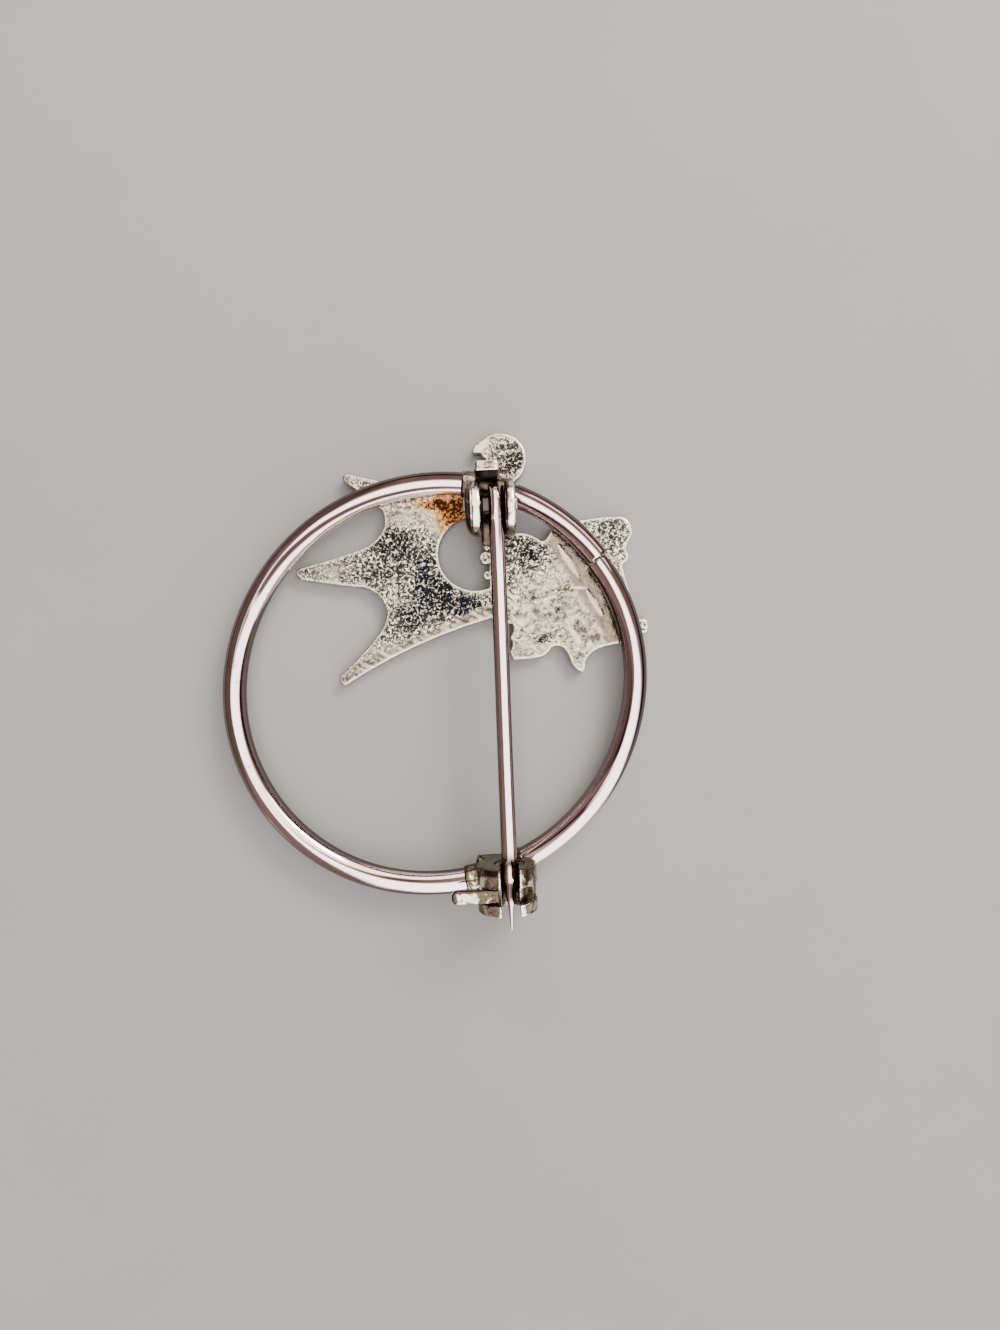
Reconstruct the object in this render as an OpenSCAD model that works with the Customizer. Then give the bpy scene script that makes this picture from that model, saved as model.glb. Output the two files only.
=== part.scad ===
// Circle brooch, lying face down with its pin side up: a ring of round wire on a cut-out figure plate,
// a hinged pin across the ring and a safety catch whose roller turns to lock the pin.
// X and Y lie in the ring's plane, Z is up. Lengths are in millimetres and angles in degrees.

/* [Ring] */
// Diameter of the ring's round wire
wire_d = 2.1; // [1.9:0.1:2.2]
// Radius of the wire's centre line in the two tight quarters
tight_r = 17.25; // [17.1:0.05:17.4]
// Radius of the wire's centre line in the two flat quarters
flat_r = 18.95; // [18.8:0.05:19.1]
// Direction in which the ring is longest
long_axis_deg = 40; // [38:1:42]
// Direction of the butt joint where the wire's ends meet
seam_deg = 37.5; // [36:0.5:38]
// How far the wire's first end is shifted out, along and across
seam_shift = 0.18; // [0.06:0.02:0.2]
// Width of the open line between the two ends, as an angle
seam_gap_deg = 0.3; // [0.2:0.1:0.5]

/* [Figure plate] */
// Thickness of the cut-out plate
plate_t = 1.0; // [0.9:0.05:1.1]
// How far the wire is sunk into the plate where they are soldered
seat_depth = 0.15; // [0.1:0.05:0.2]
// Radius of the round hole beside the hinge
hole_r = 3.37; // [3.2:0.01:3.45]
// Radius of the disc above the hinge
disc_r = 2.4; // [2.3:0.05:2.5]
// Depth of the shallow channel beside the ring
channel_depth = 0.3; // [0.2:0.05:0.4]
// Width of the shallow channel beside the ring
channel_w = 1.0; // [0.8:0.05:1.2]

/* [Pin] */
// Diameter of the pin
pin_d = 1.36; // [1.3:0.02:1.4]
// Height of the pin's axis above the surface that the brooch lies on
pin_z = 4.6; // [4.6:0.05:4.8]
// How far the pin leans from the Y axis, seen from above
lean_deg = 2.15; // [2:0.05:2.3]
// Length from the hinge's rivet to the pin's point
pin_length = 37.2; // [36.5:0.1:38]
// Length of the tapered point
point_length = 6.0; // [5.9:0.1:6.4]
// Radius of the flattened eye that turns on the rivet
eye_r = 1.8; // [1.7:0.02:1.82]
// Thickness of the flattened eye
eye_t = 1.36; // [1.2:0.02:1.4]

/* [Hinge] */
// How far the rivet's middle lies to the right of the ring's centre
hinge_x = 5.54; // [5.45:0.01:5.6]
// How far the rivet's middle lies above the ring's centre, towards the disc
hinge_y = 15.7; // [15.65:0.01:15.75]
// Diameter of the rivet
rivet_d = 1.0; // [0.8:0.05:1.1]
// Length of each ear along the pin
ear_length = 4.8; // [4.6:0.1:5]
// Height of the ears' tops above the surface
ear_top = 6.4; // [6.3:0.05:6.6]
// Thickness of each ear
ear_t = 0.85; // [0.8:0.01:0.9]
// How far the left ear's outer side is domed
dome_t = 0.5; // [0.4:0.05:0.6]
// Height of the back stop above the surface
stop_top = 6.2; // [6:0.05:6.4]

/* [Catch] */
// Distance from the rivet to the front face of the catch
catch_from = 31.2; // [31:0.1:31.4]
// Outer radius of the two round cheeks
cheek_r = 2.6; // [2.5:0.05:2.7]
// How far the cheeks' middle lies to the left of the pin's axis
cheek_shift = 0.25; // [0.1:0.05:0.3]
// Thickness of the front cheek
front_cheek_t = 1.65; // [1.5:0.05:1.7]
// Thickness of the rear cheek
rear_cheek_t = 1.0; // [0.9:0.05:1.1]
// Space between the cheeks, where the roller's collar and lever turn
cheek_gap = 1.35; // [1.2:0.05:1.4]
// Width of the slots that let the pin in, and of the roller's bore
slot_w = 1.6; // [1.55:0.01:1.65]
// Outer radius of the roller
roller_r = 1.25; // [1.2:0.01:1.28]
// How far the lever reaches from the pin's axis
lever_reach = 5.0; // [4.6:0.1:5.2]

/* [Clearances] */
// Radial gap round the rivet and the roller
running_gap = 0.05; // [0.04:0.01:0.07]
// Gap beside the turning pieces
side_gap = 0.1; // [0.08:0.01:0.12]

/* [Hidden] */
$fn = 96;
quarter = 90;

// The wire's centre line is this high where the wire is sunk into the plate
wire_z = plate_t + wire_d / 2 - seat_depth;
wire_top = wire_z + wire_d / 2;

// The ring is turned so that its quarters meet on its own axes, and starts and ends at the butt joint
ring_turn = long_axis_deg + quarter / 2;
first_sweep = ring_turn - seam_deg;
off = (flat_r - tight_r) / 2;
// Its arcs: centre x, centre y, radius, start, angle turned
ring_arcs = [
    [off + seam_shift, -off - seam_shift, tight_r, 0, -first_sweep],
    [-off, -off - seam_shift, flat_r + seam_shift, 0, quarter],
    [-off, off, tight_r, quarter, quarter],
    [off, off, flat_r, 2 * quarter, quarter],
    [off, -off, tight_r, 3 * quarter, quarter - first_sweep - seam_gap_deg],
];

function toward(a) = [cos(a), sin(a)];
function turned(p, a) = [p[0] * cos(a) - p[1] * sin(a), p[0] * sin(a) + p[1] * cos(a)];

// Outlines of the plate, from the ring's centre: x, y, and how far the edge to the next point bows out
blade_edge = [
    [4.6, 17.7, 0], [-4.2, 18.45, 0], [-8.3, 19.35, 0.2], [-8.5, 18.6, 0], [-6.9, 17.5, 0],
    [-4.95, 15.9, -0.1], [-4.8, 14.4, -0.25], [-6.6, 12.5, -0.1], [-12.75, 10.6, 0.3],
    [-12.5, 9.55, 0], [-8.4, 9.0, 0], [-6.7, 8.85, -0.45], [-4.5, 6.6, -0.2], [-5.5, 4.3, -0.1],
    [-8.85, 0.7, 0.3], [-8.3, -0.15, -0.55], [5.0, 6.0, 0], [6.8, 8.0, 0], [6.8, 17.0, 0],
];
body_edge = [
    [5.0, 6.0, 0.1], [7.0, 5.5, -0.1], [7.0, 4.6, 0], [6.7, 4.2, 0], [7.0, 3.9, -0.1],
    [6.8, 3.1, 0.1], [7.1, 2.2, 0.05], [9.6, 2.45, 0.15], [10.6, 3.3, -0.2], [11.7, 3.3, -0.1],
    [12.4, 2.0, 0.22], [13.65, 1.05, 0.05], [13.75, 2.0, -0.15], [14.9, 3.2, -0.1],
    [17.2, 3.7, 0], [18.6, 4.6, 0], [19.4, 4.7, 0.17], [19.35, 5.95, 0], [18.1, 5.95, 0],
    [17.6, 7.7, 0], [17.9, 8.35, 0], [17.45, 9.8, 0], [17.2, 10.7, -0.1], [17.5, 11.25, 0.1],
    [17.75, 11.85, -0.15], [17.6, 12.75, -0.05], [18.05, 13.6, 0.12], [17.8, 14.9, 0.15],
    [16.7, 15.4, 0.05], [14.2, 15.2, 0], [12.9, 15.0, 0], [10.6, 14.6, -0.1],
    [10.2, 13.45, -0.2], [9.5, 13.3, 0.1], [8.0, 13.9, 0.05], [6.9, 13.8, 0], [4.9, 13.8, 0],
];
neck_edge = [[4.5, 13.5, 0], [7.0, 13.5, 0], [7.0, 18.0, 0], [7.6, 19.4, 0], [4.5, 20.0, 0]];
lip_edge = [[5.0, 22.85, 0], [3.7, 22.1, 0.05], [3.35, 21.5, 0.05], [3.4, 21.0, 0], [5.0, 21.0, 0]];
bite_edge = [[2.9, 21.25, 0], [4.1, 21.2, 0.1], [4.55, 20.7, 0], [4.55, 17.6, 0], [2.9, 17.6, 0]];
disc_at = [5.9, 20.67];
hole_at = [3.6, 11.97];
// The body's straight edge closes the hole's right side, and small bumps stand out from it: x, y, radius
hole_side_x = 4.9;
bumps = [[4.65, 12.54, 0.3], [4.6, 11.6, 0.6], [4.75, 10.0, 0.42]];
channel_deg = [13, 50];
bow_steps = 6;

// The hinge, in the pin's own frame: origin in the middle of the rivet, -Y along the pin
left_ear_x = -2.18;
right_ear_x = 0.8;
ear_mid_y = -0.18;
ear_foot_inset = 0.5;
dome_top_r = 1.9;
stop_x = [-1.8, 0.4];
stop_y = 2.6;
stop_t = 0.85;
floor_from_y = -2.95;
floor_t = 0.65;
rivet_head_r = 0.75;
rivet_head_t = 0.14;
hub_r = 0.8;
point_r = 0.08;
// The wire narrows from here to the eye, clear of the ears
neck_to = 2.6;
neck_r = 0.6;
// The point's outline: share of its length, radius
point_rows = [[0, pin_d / 2], [0.3, 0.65], [0.5, 0.42], [0.67, 0.22], [1, point_r]];

// The catch, in the same frame
catch_to = catch_from + front_cheek_t + cheek_gap + rear_cheek_t;
gap_from = catch_from + front_cheek_t;
gap_to = catch_to - rear_cheek_t;
collar_r = roller_r + 0.25;
lever_root_r = cheek_r - cheek_shift;
lever_deg = [128, 150, 172];
lever_t = 0.5;
lever_z = 1.75;
catch_base_x = [-2.95, 2.3];
catch_base_z = 1.3;

// Sleeves round the ring's wire, soldered under the hinge and the catch
sleeve_r = wire_d / 2 + 0.15;
hinge_sleeve_sweep = 14.5;
catch_sleeve_from = 197.1;
catch_sleeve_sweep = 18.9;

// The origin is in the middle of the whole brooch, on the surface that it lies on
left_x = turned([-off, off], ring_turn)[0] - tight_r - wire_d / 2;
right_x = 19.545;
top_y = disc_at[1] + disc_r;
point_y = hinge_y - pin_length * cos(lean_deg);
middle = [(left_x + right_x) / 2, (top_y + point_y) / 2, 0];

// An outline's points, with a parabola over each edge that bows
function bowed(rows) = [
    for (i = [0:len(rows) - 1])
        let (
            from = [rows[i][0], rows[i][1]],
            next = rows[(i + 1) % len(rows)],
            along = [next[0], next[1]] - from,
            out = [along[1], -along[0]] / norm(along),
            steps = rows[i][2] == 0 ? 1 : bow_steps
        )
        for (k = [0:steps - 1])
            let (t = k / steps)
            from + t * along + 4 * rows[i][2] * t * (1 - t) * out
];

module at_ring_centre() {
    translate(-middle) children();
}

module at_ring() {
    at_ring_centre() rotate([0, 0, ring_turn]) children();
}

module at_pin() {
    at_ring_centre()
        translate([hinge_x, hinge_y, pin_z])
            rotate([0, 0, lean_deg]) children();
}

// A cylinder along the pin, from one distance to another, that may widen or narrow
module along_pin(from, to, r, end_r = undef) {
    translate([0, -from, 0])
        rotate([90, 0, 0])
            cylinder(h = to - from, r1 = r, r2 = end_r == undef ? r : end_r);
}

// A cylinder along the rivet, from one x to another, that may narrow
module along_rivet(from, to, r, end_r = undef) {
    translate([from, 0, 0])
        rotate([0, 90, 0])
            cylinder(h = to - from, r1 = r, r2 = end_r == undef ? r : end_r);
}

// A stretch of the ring's wire, or of a sleeve round it, on one of its arcs
module on_arc(arc, from, sweep, r) {
    translate([arc[0], arc[1], wire_z])
        rotate([0, 0, from])
            rotate_extrude(angle = sweep)
                translate([arc[2], 0]) circle(r = r);
}

module ring() {
    color("rosybrown")
        at_ring()
            for (arc = ring_arcs) on_arc(arc, arc[3], arc[4], wire_d / 2);
}

module hole() {
    difference() {
        translate(hole_at) circle(r = hole_r);
        translate([hole_side_x, hole_at[1] - hole_r]) square([hole_r, 2 * hole_r]);
        for (b = bumps) translate([b[0], b[1]]) circle(r = b[2]);
    }
}

// The shallow channel in the plate's back, along the inner side of the ring
module channel() {
    centre = turned([off, -off], ring_turn);
    translate([centre[0], centre[1], plate_t - channel_depth])
        rotate([0, 0, channel_deg[0]])
            rotate_extrude(angle = channel_deg[1] - channel_deg[0])
                translate([tight_r - wire_d / 2 - channel_w, 0])
                    square([channel_w + wire_d / 4, plate_t]);
}

module figure_plate() {
    color("silver")
        at_ring_centre()
            difference() {
                linear_extrude(plate_t)
                    difference() {
                        union() {
                            polygon(bowed(blade_edge));
                            polygon(bowed(body_edge));
                            polygon(bowed(neck_edge));
                            polygon(bowed(lip_edge));
                            translate(disc_at) circle(r = disc_r);
                        }
                        hole();
                        polygon(bowed(bite_edge));
                    }
                channel();
            }
}

module ear(from_x) {
    centre_z = ear_top - ear_length / 2 - pin_z;
    translate([from_x, ear_mid_y, centre_z]) rotate([0, 90, 0]) cylinder(h = ear_t, d = ear_length);
    translate([from_x, ear_mid_y - ear_length / 2 + ear_foot_inset, plate_t - pin_z])
        cube([ear_t, ear_length - ear_foot_inset, centre_z + pin_z - plate_t]);
}

module hinge_bracket() {
    inner_x = left_ear_x + ear_t;
    color("darkgray")
        difference() {
            union() {
                at_ring() on_arc(ring_arcs[0], 0, -hinge_sleeve_sweep, sleeve_r);
                at_pin() {
                    ear(left_ear_x);
                    ear(right_ear_x);
                    translate([0, ear_mid_y, ear_top - ear_length / 2 - pin_z])
                        along_rivet(left_ear_x - dome_t, left_ear_x, dome_top_r, ear_length / 2);
                    translate([inner_x, floor_from_y, plate_t - pin_z])
                        cube([right_ear_x - inner_x, stop_y - floor_from_y, floor_t]);
                    translate([stop_x[0], stop_y, plate_t - pin_z])
                        cube([stop_x[1] - stop_x[0], stop_t, stop_top - plate_t]);
                }
            }
            at_pin() {
                along_rivet(left_ear_x - 1, right_ear_x + 2, rivet_d / 2 + running_gap);
                along_rivet(inner_x, right_ear_x, eye_r + side_gap);
            }
        }
}

module catch_housing() {
    base_w = catch_base_x[1] - catch_base_x[0];
    color("darkgray")
        difference() {
            union() {
                at_ring() on_arc(ring_arcs[3], catch_sleeve_from, catch_sleeve_sweep, sleeve_r);
                at_pin() {
                    translate([-cheek_shift, 0, 0]) {
                        along_pin(catch_from, gap_from, cheek_r);
                        along_pin(gap_to, catch_to, cheek_r);
                    }
                    translate([catch_base_x[0], -catch_to, catch_base_z - pin_z])
                        cube([base_w, catch_to - catch_from, wire_top - catch_base_z]);
                }
            }
            at_pin() {
                along_pin(catch_from - 1, catch_to + 1, roller_r + running_gap);
                along_pin(gap_from, gap_to, collar_r + running_gap);
                translate([-slot_w / 2, -catch_to - 1, 0])
                    cube([slot_w, catch_to - catch_from + 2, cheek_r + 1]);
            }
        }
}

module brooch_frame() {
    union() {
        ring();
        figure_plate();
        hinge_bracket();
        catch_housing();
    }
}

module hinge_rivet() {
    left = left_ear_x - dome_t - running_gap;
    right = right_ear_x + ear_t + running_gap;
    color("lightgray")
        at_pin() {
            along_rivet(left - rivet_head_t, right + rivet_head_t, rivet_d / 2);
            along_rivet(left - rivet_head_t, left, rivet_d / 2, rivet_head_r);
            along_rivet(right, right + rivet_head_t, rivet_head_r, rivet_d / 2);
        }
}

module pin_stem() {
    point_from = pin_length - point_length;
    color("thistle")
        at_pin()
            difference() {
                union() {
                    along_rivet(-eye_t / 2, eye_t / 2, eye_r);
                    along_rivet(left_ear_x + ear_t + side_gap, right_ear_x - side_gap, hub_r);
                    along_pin(eye_r - 0.3, neck_to, neck_r, pin_d / 2);
                    along_pin(neck_to, point_from, pin_d / 2);
                    for (i = [1:len(point_rows) - 1])
                        let (a = point_rows[i - 1], b = point_rows[i])
                            along_pin(point_from + a[0] * point_length, point_from + b[0] * point_length,
                                      a[1], b[1]);
                }
                along_rivet(left_ear_x, right_ear_x + ear_t, rivet_d / 2 + running_gap);
            }
}

module lever() {
    rotate([90, 0, 0])
        linear_extrude(gap_to - gap_from - 2 * side_gap) {
            intersection() {
                circle(r = lever_root_r);
                polygon([[0, 0], for (a = lever_deg) 2 * lever_root_r * toward(a)]);
            }
            translate([-lever_reach, lever_z - lever_t / 2]) square([lever_reach - roller_r, lever_t]);
        }
}

module catch_roller() {
    color("gray")
        at_pin()
            difference() {
                union() {
                    along_pin(catch_from + side_gap, catch_to - side_gap, roller_r);
                    along_pin(gap_from + side_gap, gap_to - side_gap, collar_r);
                    translate([0, -gap_from - side_gap, 0]) lever();
                }
                along_pin(catch_from - 1, catch_to + 1, slot_w / 2);
                translate([-slot_w / 2, -catch_to - 1, 0])
                    cube([slot_w, catch_to - catch_from + 2, cheek_r + 1]);
            }
}

brooch_frame();
hinge_rivet();
pin_stem();
catch_roller();
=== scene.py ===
"""Circle brooch lying face down: the looks of each piece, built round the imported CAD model."""
import math

import bmesh
import bpy
import numpy as np
from mathutils import Matrix, Vector, noise


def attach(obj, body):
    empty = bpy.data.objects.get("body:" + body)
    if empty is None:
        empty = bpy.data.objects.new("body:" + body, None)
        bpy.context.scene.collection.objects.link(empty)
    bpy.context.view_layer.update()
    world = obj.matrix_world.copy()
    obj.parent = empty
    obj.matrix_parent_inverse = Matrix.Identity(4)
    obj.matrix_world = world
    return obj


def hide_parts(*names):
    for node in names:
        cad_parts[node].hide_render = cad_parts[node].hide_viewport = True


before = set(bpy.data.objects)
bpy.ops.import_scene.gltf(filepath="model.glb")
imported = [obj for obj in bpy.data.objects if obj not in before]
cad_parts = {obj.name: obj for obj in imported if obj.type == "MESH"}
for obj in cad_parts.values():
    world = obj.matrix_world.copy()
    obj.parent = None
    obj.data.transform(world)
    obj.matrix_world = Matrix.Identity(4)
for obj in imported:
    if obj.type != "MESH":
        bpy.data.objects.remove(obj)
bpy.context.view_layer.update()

# Lengths are in millimetres from the ring's centre, until a mesh is made in metres in the CAD's frame
MM = 0.001
# The middle of the brooch's box, which is the CAD's origin
MIDDLE = Vector((0.162075, 0.798095, 0.0))

# Sizes repeated from the part's source. Plate and ring
PLATE_T = 1.0
WIRE_R = 1.05
SEAT_DEPTH = 0.15
WIRE_Z = PLATE_T + WIRE_R - SEAT_DEPTH
TIGHT_R = 17.25
FLAT_R = 18.95
OFF = (FLAT_R - TIGHT_R) / 2
QUARTER = 90.0
RING_TURN = 85.0
FIRST_SWEEP = 47.5
SEAM_SHIFT = 0.18
SEAM_GAP = 0.3
SLEEVE_R = WIRE_R + 0.15

# Pin and hinge, from the middle of the rivet
HINGE = (5.54, 15.7)
PIN_Z = 4.6
LEAN = 2.15
PIN_R = 0.68
EYE_R = 1.8
HUB_R = 0.8
RIVET_R = 0.5
EAR_T = 0.85
EAR_R = 2.4
EAR_Y = -0.18
EAR_TOP = 6.4
EAR_Z = EAR_TOP - EAR_R - PIN_Z
EAR_INSET = 0.5
LEFT_EAR = -2.18
RIGHT_EAR = 0.8
STOP_Y = 2.6
STOP_T = 0.85
FLOOR_T = 0.65

# Catch, from the middle of the rivet
CATCH_FROM = 31.2
GAP_FROM = CATCH_FROM + 1.65
GAP_TO = GAP_FROM + 1.35
CATCH_TO = GAP_TO + 1.0
CHEEK_R = 2.6
CHEEK_SHIFT = 0.25
BASE_X = (-2.95, 2.3)
BASE_Z = (1.3, 2.93)
SLOT_HALF = 0.8
BORE_R = 1.3
ROLLER_R = 1.25
COLLAR_R = 1.5
SIDE_GAP = 0.1


# Placing

def ring_frame():
    return Matrix.Translation(-MIDDLE) @ Matrix.Rotation(math.radians(RING_TURN), 4, "Z")


def pin_frame():
    """Origin in the middle of the rivet, -Y along the pin, X along the rivet."""
    return (Matrix.Translation(Vector((HINGE[0], HINGE[1], PIN_Z)) - MIDDLE)
            @ Matrix.Rotation(math.radians(LEAN), 4, "Z"))


def make(name, parts, material, body, replaced, stain_and_shade=None):
    """One piece from (bmesh, matrix) parts in millimetres. The last argument adds painted shade and light at
    a place in the pin's frame.
    """
    mesh = bpy.data.meshes.new(name)
    whole = bmesh.new()
    for bm, matrix in parts:
        bm.transform(matrix)
        part = bpy.data.meshes.new("part")
        bm.to_mesh(part)
        bm.free()
        whole.from_mesh(part)
        bpy.data.meshes.remove(part)
    whole.transform(Matrix.Scale(MM, 4))
    bmesh.ops.recalc_face_normals(whole, faces=whole.faces)
    whole.to_mesh(mesh)
    whole.free()
    obj = bpy.data.objects.new(name, mesh)
    bpy.context.scene.collection.objects.link(obj)
    mesh.polygons.foreach_set("use_smooth", [True] * len(mesh.polygons))
    # Painted shade: high surfaces that face up are light, and low ones and sides are painted darker
    dirt_and_shade = mesh.attributes.new("dirt_and_shade", "FLOAT", "POINT")
    to_pin = pin_frame().inverted()
    for v, value in zip(mesh.vertices, dirt_and_shade.data):
        up = share(v.normal.z, 0.1, 0.7)
        value.value = 1.0 - up * share(v.co.z / MM, 2.0, 5.2)
        if stain_and_shade:
            value.value += stain_and_shade(to_pin @ (v.co / MM), up)
    mesh.materials.append(material)
    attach(obj, body)
    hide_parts(replaced)


# Shapes that the pieces share

def share(x, low, high):
    """How far a number is on its way from low to high, from 0 to 1."""
    return min(max((x - low) / (high - low), 0.0), 1.0)


def smooth(x, low, high):
    """The same for numbers or arrays, with a soft start and end."""
    t = np.clip((x - low) / (high - low), 0, 1)
    return t * t * (3 - 2 * t)


def ease(x, low, high):
    return float(smooth(x, low, high))


def wobble(p, scale, seed):
    return noise.noise(Vector((p[0] * scale + seed, p[1] * scale - seed, p[2] * scale + 2 * seed)))


def sweep(rings, grains=None, painted_shades=None, painted_shade=0.0):
    """A closed skin over rings of points that all have the same count, with its grain and painted shade."""
    bm = bmesh.new()
    grain = bm.verts.layers.float_vector.new("grain")
    shade_layer = bm.verts.layers.float.new("painted_shade")
    rows = []
    for i, ring in enumerate(rings):
        row = []
        for j, p in enumerate(ring):
            v = bm.verts.new(p)
            v[grain] = grains[i][j] if grains else Vector(p)
            v[shade_layer] = painted_shades[i][j] if painted_shades else painted_shade
            row.append(v)
        rows.append(row)
    n = len(rows[0])
    for a, b in zip(rows, rows[1:]):
        for j in range(n):
            bm.faces.new((a[j], a[(j + 1) % n], b[(j + 1) % n], b[j]))
    bm.faces.new(rows[0])
    bm.faces.new(rows[-1])
    return bm


def lathe(profile, count=64, painted_shade=0.0):
    """A profile of (along, radius) turned round the X axis."""
    rings = []
    for t, r in profile:
        ring = []
        for k in range(count):
            a = math.tau * k / count
            ring.append(Vector((t, r * math.cos(a), r * math.sin(a))))
        rings.append(ring)
    return sweep(rings, painted_shade=painted_shade)


def rounded_profile(from_t, to_t, r, edge, steps=4):
    """A cylinder's profile with rounded edges."""
    rows = [(from_t, max(r - edge * 2.5, r * 0.3)), (from_t, r - edge)]
    for k in range(1, steps + 1):
        a = math.pi / 2 * k / steps
        rows.append((from_t + edge * (1 - math.cos(a)), r - edge + edge * math.sin(a)))
    for k in range(steps + 1):
        a = math.pi / 2 * k / steps
        rows.append((to_t - edge * (1 - math.cos(math.pi / 2 - a)), r - edge + edge * math.cos(a)))
    rows.append((to_t, max(r - edge * 2.5, r * 0.3)))
    return rows


def across_axis(u, v, t, axis):
    """The place (u, v) in the plane across an axis, at t along it."""
    return Vector({"X": (t, u, v), "Y": (u, t, v), "Z": (u, v, t)}[axis])


def slab(outline, low, high, axis, edge=0.08, segments=3, uneven=0.0, seed=0.0, cell=0.3, sharp_deg=32):
    """An outline in the plane across an axis, drawn out from low to high, rounded and cut into cells."""
    bm = bmesh.new()
    bottom = [bm.verts.new(across_axis(u, v, low, axis)) for u, v in outline]
    top = [bm.verts.new(across_axis(u, v, high, axis)) for u, v in outline]
    n = len(outline)
    bm.faces.new(bottom[::-1])
    bm.faces.new(top)
    for k in range(n):
        bm.faces.new((bottom[k], bottom[(k + 1) % n], top[(k + 1) % n], top[k]))
    bmesh.ops.recalc_face_normals(bm, faces=bm.faces)
    sharp = [e for e in bm.edges
             if len(e.link_faces) == 2 and e.calc_face_angle(0.0) > math.radians(sharp_deg)]
    bmesh.ops.bevel(bm, geom=sharp, offset=edge, offset_type="OFFSET", segments=segments, profile=0.5,
                    affect="EDGES", clamp_overlap=True)
    for k in range(3):
        start = min(v.co[k] for v in bm.verts)
        stop = max(v.co[k] for v in bm.verts)
        across = [1.0 if k == m else 0.0 for m in range(3)]
        for t in np.arange(start + cell, stop - cell / 2, cell):
            bmesh.ops.bisect_plane(bm, geom=bm.verts[:] + bm.edges[:] + bm.faces[:],
                                   plane_co=[float(t) * a for a in across], plane_no=across)
    if uneven:
        for v in bm.verts:
            v.co += Vector([uneven * wobble(v.co, 1.3, seed + 3.1 * k) for k in range(3)])
    return bm


def arc_points(centre, r, from_deg, to_deg, count):
    angles = [math.radians(from_deg + (to_deg - from_deg) * k / count) for k in range(count + 1)]
    return [(centre[0] + r * math.cos(a), centre[1] + r * math.sin(a)) for a in angles]


# The ring

# Its arcs, in its own turned frame: centre x, centre y, radius, start, angle turned
ARCS = [
    (OFF + SEAM_SHIFT, -OFF - SEAM_SHIFT, TIGHT_R, 0.0, -FIRST_SWEEP),
    (-OFF, -OFF - SEAM_SHIFT, FLAT_R + SEAM_SHIFT, 0.0, QUARTER),
    (-OFF, OFF, TIGHT_R, QUARTER, QUARTER),
    (OFF, OFF, FLAT_R, 2 * QUARTER, QUARTER),
    (OFF, -OFF, TIGHT_R, 3 * QUARTER, QUARTER - FIRST_SWEEP - SEAM_GAP),
]


def on_arc(cx, cy, r, degrees):
    """A point of the wire's centre line and the direction outward there."""
    a = math.radians(degrees)
    c, s = math.cos(a), math.sin(a)
    return Vector((cx + r * c, cy + r * s, WIRE_Z)), Vector((c, s, 0.0))


def wire_line(step=0.6):
    """Points with outward directions, and lengths along the ring, from its first end to its last."""
    rows = []
    for i, (cx, cy, r, start, turn) in enumerate(ARCS):
        if i == 0:
            start, turn = start + turn, -turn
        count = int(abs(turn) / step)
        last = i == len(ARCS) - 1
        rows += [on_arc(cx, cy, r, start + turn * k / count) for k in range(count + last)]
    length = [0.0]
    for (p, _), (q, _) in zip(rows, rows[1:]):
        length.append(length[-1] + (q - p).length)
    return rows, length


def sleeve_line(arc, start, turn, step=0.5):
    """The same for a sleeve round a stretch of one arc."""
    cx, cy, r = arc[:3]
    count = int(abs(turn) / step)
    rows = [on_arc(cx, cy, r, start + turn * k / count) for k in range(count + 1)]
    length = [math.radians(abs(turn)) * r * k / count for k in range(count + 1)]
    return rows, length


# Painted reflection and shade on the wire by angle round the ring: dark bands and a dark line that stand in
# for reflections of dark surroundings and for shade. The next four columns are shares of the wire's half
# width, from its
# inner to its outer side: where the inner shade ends, where the outer shade starts, and the middle and half
# width of the dark line. The last column is the line's strength.
PAINTED_REFLECTION = np.array([
    (-200, -0.5, -0.06, 0.1, 0.1, 0.0), (-180, -0.34, 0.15, 0.1, 0.1, 0.0),
    (-160, -0.28, 0.28, 0.1, 0.06, 0.0), (-140, -0.27, 0.75, 0.08, 0.05, 0.5),
    (-120, -0.54, 0.62, -0.02, 0.07, 0.9), (-100, -0.72, 0.6, -0.13, 0.13, 1.0),
    (-60, -0.54, 1.0, 0.0, 0.22, 0.88), (-40, -0.5, 0.95, 0.02, 0.14, 1.0),
    (-20, 0.04, 0.6, 0.1, 0.1, 0.0), (0, -0.08, 0.46, 0.1, 0.1, 0.0),
    (20, -0.27, 0.31, 0.0, 0.08, 0.0), (60, -1.0, 0.2, -0.29, 0.09, 0.93),
    (100, -1.0, 0.22, -0.32, 0.13, 1.0), (120, -1.0, 0.2, -0.19, 0.16, 1.0),
    (140, -0.9, 0.47, 0.015, 0.2, 1.0), (152, -0.75, 0.2, 0.05, 0.16, 0.98),
    (160, -0.6, -0.06, 0.1, 0.1, 0.0),
])
PAINTED_REFLECTION_END = 160
# The painted reflection is centred this far inward of the wire's top
PAINTED_REFLECTION_LEAN = math.radians(16)
FULL_SHADE = 0.985
LEFT_SHADE = 0.5
LOW_SHADE = 0.8


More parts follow.
